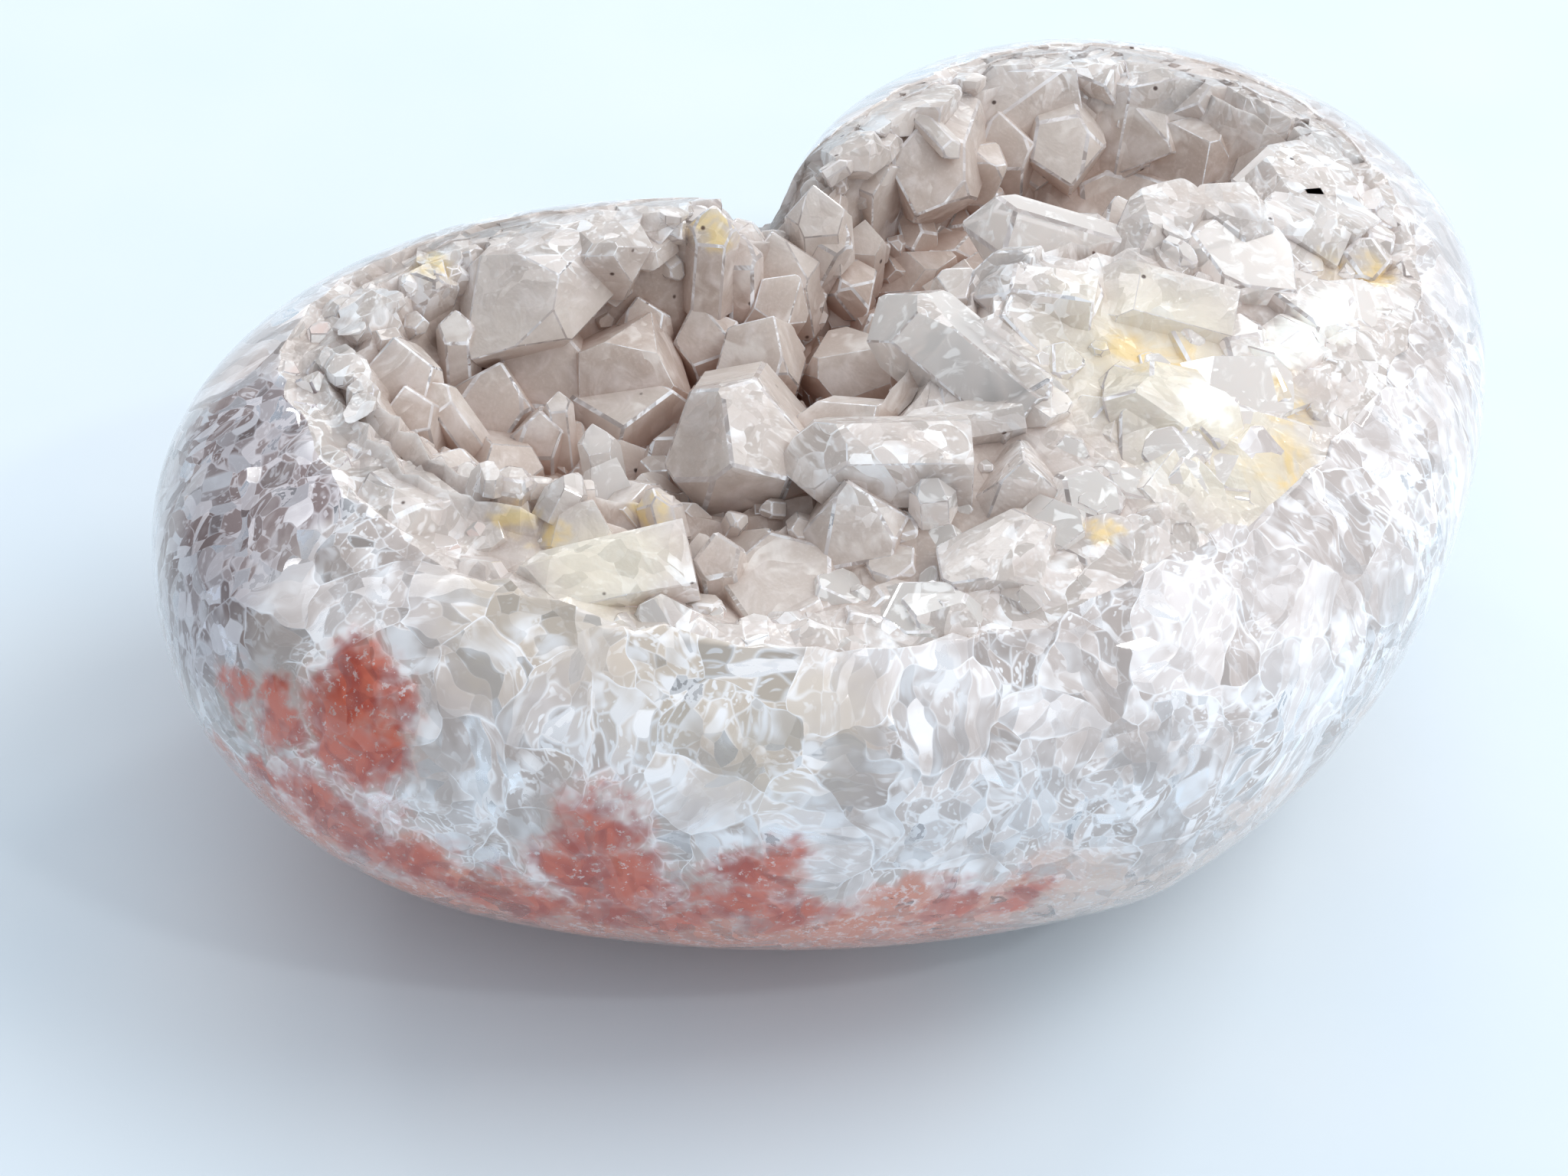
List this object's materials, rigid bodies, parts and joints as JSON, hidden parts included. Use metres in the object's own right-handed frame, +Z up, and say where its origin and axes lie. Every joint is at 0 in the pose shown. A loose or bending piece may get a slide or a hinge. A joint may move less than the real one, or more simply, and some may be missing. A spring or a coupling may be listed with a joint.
{
  "type": "polished crystal heart",
  "caption": "Heart-shaped polished quartz stone with a crystal-lined hollow in its open top, lying on its convex back.",
  "frame": {"origin": "centre of the bounding box in plan, at the flattened underside", "axes": "+X across the two lobes, +Y towards the notch, +Z up out of the hollow"},
  "size_m": [0.0902, 0.0616, 0.0373],
  "materials": {
    "polished_quartz": "gloss",
    "quartz_druse": "satin"
  },
  "bodies": {
    "root": {"polished_stone": "polished_quartz", "crystal_crust": "quartz_druse"}
  },
  "joints": []
}
